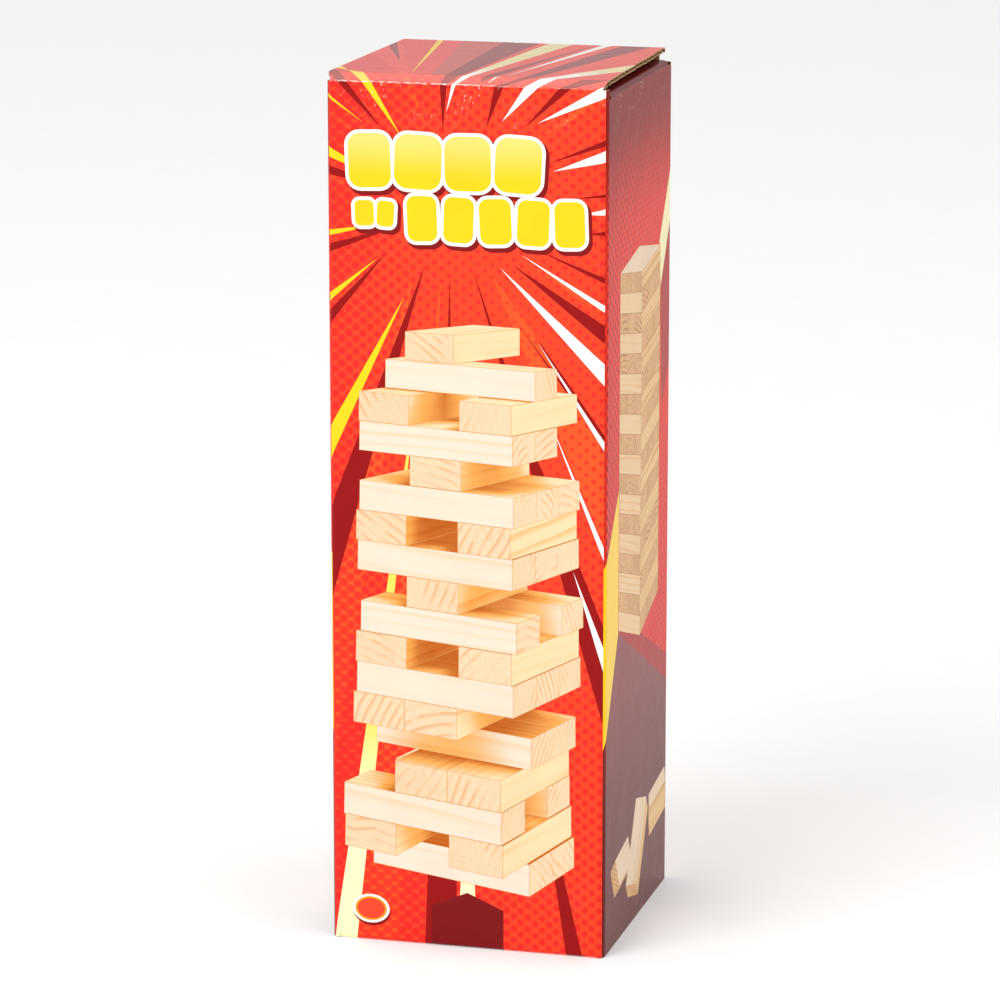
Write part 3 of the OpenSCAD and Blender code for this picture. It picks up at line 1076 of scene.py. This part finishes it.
def dust_flap(side):
    """A top dust flap and its fold. side is 1 on the right and -1 on the left."""
    name = "right" if side > 0 else "left"
    fold = DUST_R * math.pi / 2
    start = (-WALL_X, SIDE_TOP)
    profile = Profile(start, 90, [(fold, -90), (100, 0)])

    def place(u, v, depth):
        spot = profile.sunk(v, depth)
        return Vector((-spot.x * side, u * side, spot.y))

    radius = 2.0
    centre_v = fold + WALL_X - DUST_R - DUST_LOW.x - radius
    front_y, rear_y = DUST_LOW.y, DUST_HIGH.y
    tip_front, tip_rear = front_y + 9.2, rear_y - 2.6
    outline = [(front_y, 0), (rear_y, 0), (rear_y, fold)]
    outline += arc((tip_rear - radius, centre_v), radius, 0, 90)
    outline += arc((tip_front + radius, centre_v), radius, 90, 180)
    outline.append((front_y, fold))
    outline = [(u * side, v) for u, v in outline]
    piece = Piece()
    bends = cross_cuts(arc_places(0, fold, 6), -40, 40)
    sheet(piece, outline, place, cuts=bends, faces=("side_top", "kraft"))
    flap = piece.made(f"dust_flap_{name}")
    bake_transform(flap)
    settle(flap, f"top_dust_flap_{name}")


def cut_flap(half, free, fold):
    """Outline of a flap from its free edge back to its fold, with the free corners cut."""
    cut = 3.0
    return [(cut - half, free), (half - cut, free), (half, free + cut), (half, fold),
            (-half, fold), (-half, free + cut)]


def flat_board(name, node, outline, level):
    """A flat unprinted panel of the bottom, with its lower face at a level."""
    piece = Piece()
    sheet(piece, outline, lambda u, v, depth: Vector((-u, v, level + depth)), faces=PLAIN)
    settle(piece.made(name), node, "carton")


def bottom():
    """The glued bottom: outer panel folded in from the front, inner panel, two side flaps."""
    inset = 1.2
    half = WALL_X - inset
    fold = BOTTOM_R * math.pi / 2
    place = folded(BOTTOM_R, (-WALL_Y, BOTTOM_R), -90, [(fold, 90), (100, 0)], -1)
    root = WALL_X - CORNER_R
    flat = BOTTOM_R - fold - 1
    far = BOTTOM_R - fold - 2 * WALL_Y + BOTTOM_R + inset
    flap = cut_flap(half, far, flat)
    outline = centred(flap[:4] + [(root, BOTTOM_R), (-root, BOTTOM_R)] + flap[4:])
    piece = Piece()
    art = within(front_art([]), (0, flat), (2 * HALF_PANEL, BOTTOM_R))
    sheet(piece, outline, place, art, cross_cuts(arc_places(BOTTOM_R, -fold, 6), -1, 60))
    settle(piece.made("bottom_panel"), "bottom_outer_panel", "carton")

    low, _ = mm_box("bottom_inner_panel")
    edge = WALL_Y - inset
    flat_board("bottom_inner", "bottom_inner_panel", cut_flap(half, low.y, edge), low.z)
    for side, name in ((1, "right"), (-1, "left")):
        node = f"bottom_side_flap_{name}"
        low, high = mm_box(node)
        tip = low.x if side > 0 else -high.x
        outline = [(-u * side, v) for v, u in cut_flap(edge, tip, half)]
        flat_board(f"bottom_flap_{name}", node, outline, low.z)


def glue_flap():
    """The lap glued inside the left wall, with cut corners."""
    cut = 3.0
    y0, y1, z0, z1 = GLUE_LOW.y, GLUE_HIGH.y, GLUE_LOW.z, GLUE_HIGH.z
    outline = [(y1, z0), (y1, z1), (y0 + cut, z1), (y0, z1 - cut), (y0, z0 + cut), (y0 + cut, z0)]
    piece = Piece()
    sheet(piece, outline, lambda u, v, depth: Vector((GLUE_HIGH.x - depth, u, v)), faces=PLAIN)
    settle(piece.made("glue_lap"), "glue_flap", "carton")


# ---- the blocks
def block_layer(number):
    """Three wooden blocks side by side, each with its own grain."""
    node = f"layer_{number:02d}"
    low, high = mm_box(node)
    long_axis = 0 if number % 2 else 1
    cross_axis = 1 - long_axis
    gap = 0.1
    bevel = 0.5
    width = (high[cross_axis] - low[cross_axis] - 2 * gap) / 3
    chance = random.Random(number)
    mesh = bmesh.new()
    grain = mesh.verts.layers.float_vector.new("grain")
    for slot in range(3):
        size = high - low
        size[cross_axis] = width
        centre = (low + high) / 2
        centre[cross_axis] = low[cross_axis] + width / 2 + slot * (width + gap)
        block = bmesh.new()
        bmesh.ops.create_cube(block, size=1)
        bmesh.ops.scale(block, vec=size, verts=block.verts)
        bmesh.ops.bevel(block, geom=block.edges[:], offset=bevel, segments=3, profile=0.5, affect="EDGES")
        offset = log_place(chance, 0, 12)
        copies = {}
        for vert in block.verts:
            copy = mesh.verts.new((vert.co + centre) * MM)
            copy[grain] = Vector((vert.co[long_axis], vert.co[cross_axis], vert.co.z)) + offset
            copies[vert] = copy
        for face in block.faces:
            mesh.faces.new([copies[vert] for vert in face.verts]).smooth = True
        block.free()
    data = bpy.data.meshes.new(f"blocks_{number:02d}")
    mesh.to_mesh(data)
    mesh.free()
    data.set_sharp_from_angle(angle=math.radians(35))
    data.materials.append(MATERIALS["block_wood"])
    settle(placed(data.name, data), node, "tower")


# ---- studio
def studio():
    """A pale floor, soft light and the camera."""
    start("floor")
    tree = MATERIALS["floor"].node_tree
    grain = add_node(tree, "NewGeometry", {}, "Position").noise(60.0)
    tone = grain.mix((0.95, 0.95, 0.945, 1), (0.98, 0.98, 0.975, 1))
    surface(tone, 0.9, grain * 0.02, glow=0.14)
    mesh = bpy.data.meshes.new("floor")
    reach = 6.0
    level = -0.05 * MM
    corners = [(x * reach, y * reach, level) for x, y in ((-1, -1), (1, -1), (1, 1), (-1, 1))]
    mesh.from_pydata(corners, [], [(0, 1, 2, 3)])
    mesh.materials.append(MATERIALS["floor"])
    placed("floor", mesh)

    world = bpy.data.worlds.new("studio")
    world.use_nodes = True
    tree = world.node_tree
    background = tree.nodes["Background"].inputs
    background["Color"].default_value = WHITE
    seen = add_node(tree, "LightPath", {}, "Is Camera Ray")
    strength = seen.node("MapRange", {"Value": seen, "To Min": 0.72, "To Max": 1.0})
    tree.links.new(strength.socket, background["Strength"])
    bpy.context.scene.world = world
    bpy.context.scene.view_settings.view_transform = "Standard"
    middle = Vector((0, 0, HEIGHT / 2)) * MM
    lamps = [("key", (-0.7, -1.3, 1.1), 1.2, 16), ("fill", (1.3, -0.7, 0.7), 1.0, 3)]
    for name, spot, size, power in lamps:
        light = bpy.data.lights.new(name, "AREA")
        light.size = size
        light.energy = power
        lamp = placed(name, light)
        lamp.location = spot
        lamp.rotation_euler = (middle - Vector(spot)).to_track_quat("-Z", "Y").to_euler()

    azimuth, elevation = math.radians(14.78), math.radians(12.92)
    flat = math.cos(elevation)
    forward = Vector((-math.sin(azimuth) * flat, math.cos(azimuth) * flat, -math.sin(elevation)))
    camera = bpy.data.cameras.new("camera")
    camera.lens = 167.8
    camera.sensor_width = 36
    camera.clip_start = 0.01
    view = placed("camera", camera)
    view.location = (0.241, -0.9157, 0.3058)
    view.rotation_euler = forward.to_track_quat("-Z", "Y").to_euler()
    bpy.context.scene.camera = view


make_materials()
carton_walls()
lid_panel()
tuck_flap()
for side in (1, -1):
    dust_flap(side)
bottom()
glue_flap()
for number in range(1, 19):
    block_layer(number)
studio()
